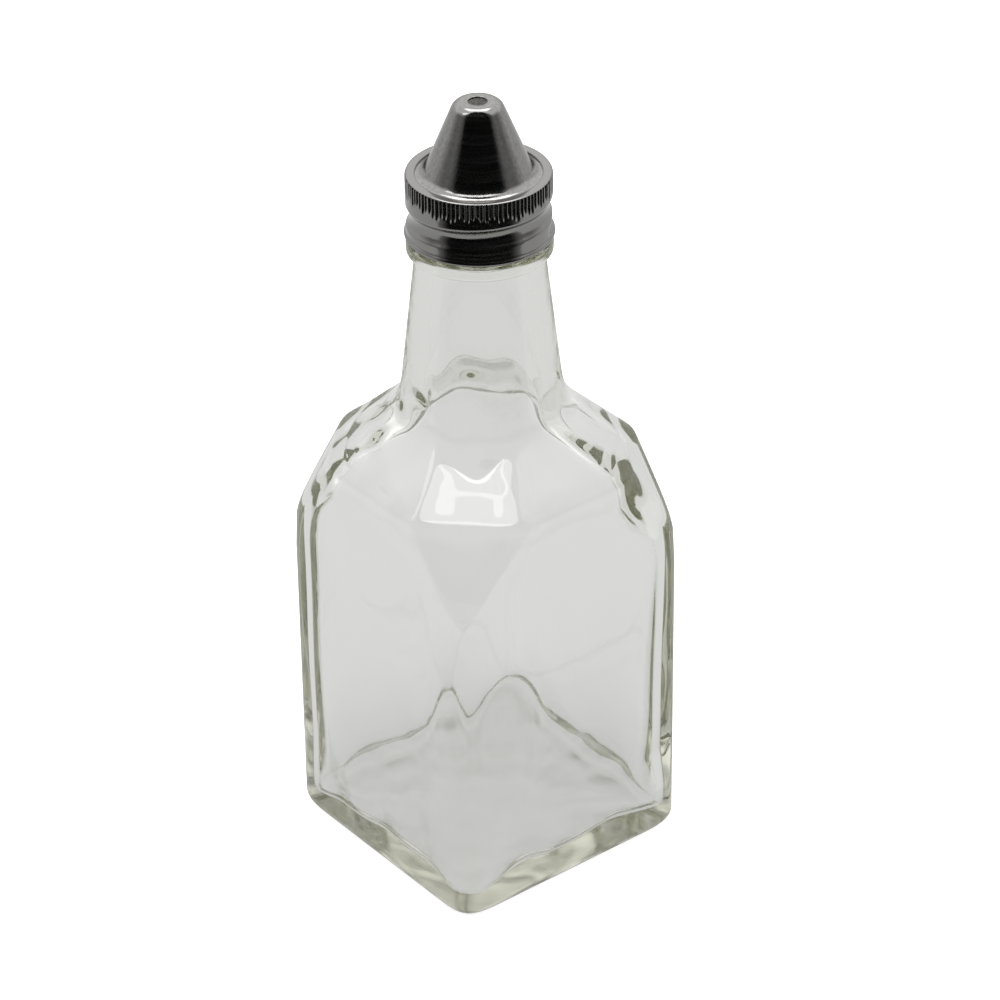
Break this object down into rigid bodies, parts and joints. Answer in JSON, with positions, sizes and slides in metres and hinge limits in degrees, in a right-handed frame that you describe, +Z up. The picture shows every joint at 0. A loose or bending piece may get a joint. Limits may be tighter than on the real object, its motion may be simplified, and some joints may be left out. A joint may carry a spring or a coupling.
{
  "type": "cruet",
  "caption": "Square clear-glass oil or vinegar cruet with faceted shoulders, a knurled steel screw band and a pouring cone.",
  "frame": {"origin": "centre of the base, on the table", "axes": "+Z up along the neck; +X and +Y square to two faces of the glass, the corners on their diagonals"},
  "size_m": [0.06, 0.06, 0.1732],
  "materials": {
    "clear_glass": "moulded, fire polished, faint green in thick places",
    "stainless_band": "pressed and rolled sheet, soft gloss, knurled",
    "stainless_cone": "drawn sheet, soft gloss with fine drawing marks",
    "washer_plastic": "soft polyethylene"
  },
  "bodies": {
    "bottle": {"glass_bottle": "clear_glass"},
    "spout": {"pour_cone": "stainless_cone", "sealing_washer": "washer_plastic"},
    "band": {"screw_band": "stainless_band"}
  },
  "joints": [
    {"name": "cap_lift", "type": "slide", "parent": "bottle", "child": "spout", "axis": [0, 0, 1], "range_m": [0, 0.0053]},
    {"name": "cap_turn", "type": "hinge", "parent": "spout", "child": "band", "pos_m": [0, 0, 0.15], "axis": [0, 0, 1], "range_deg": [0, 450]}
  ],
  "couplings": [
    {"joint": "cap_lift", "follows": "cap_turn", "m_per_rad": 0.00067376}
  ]
}
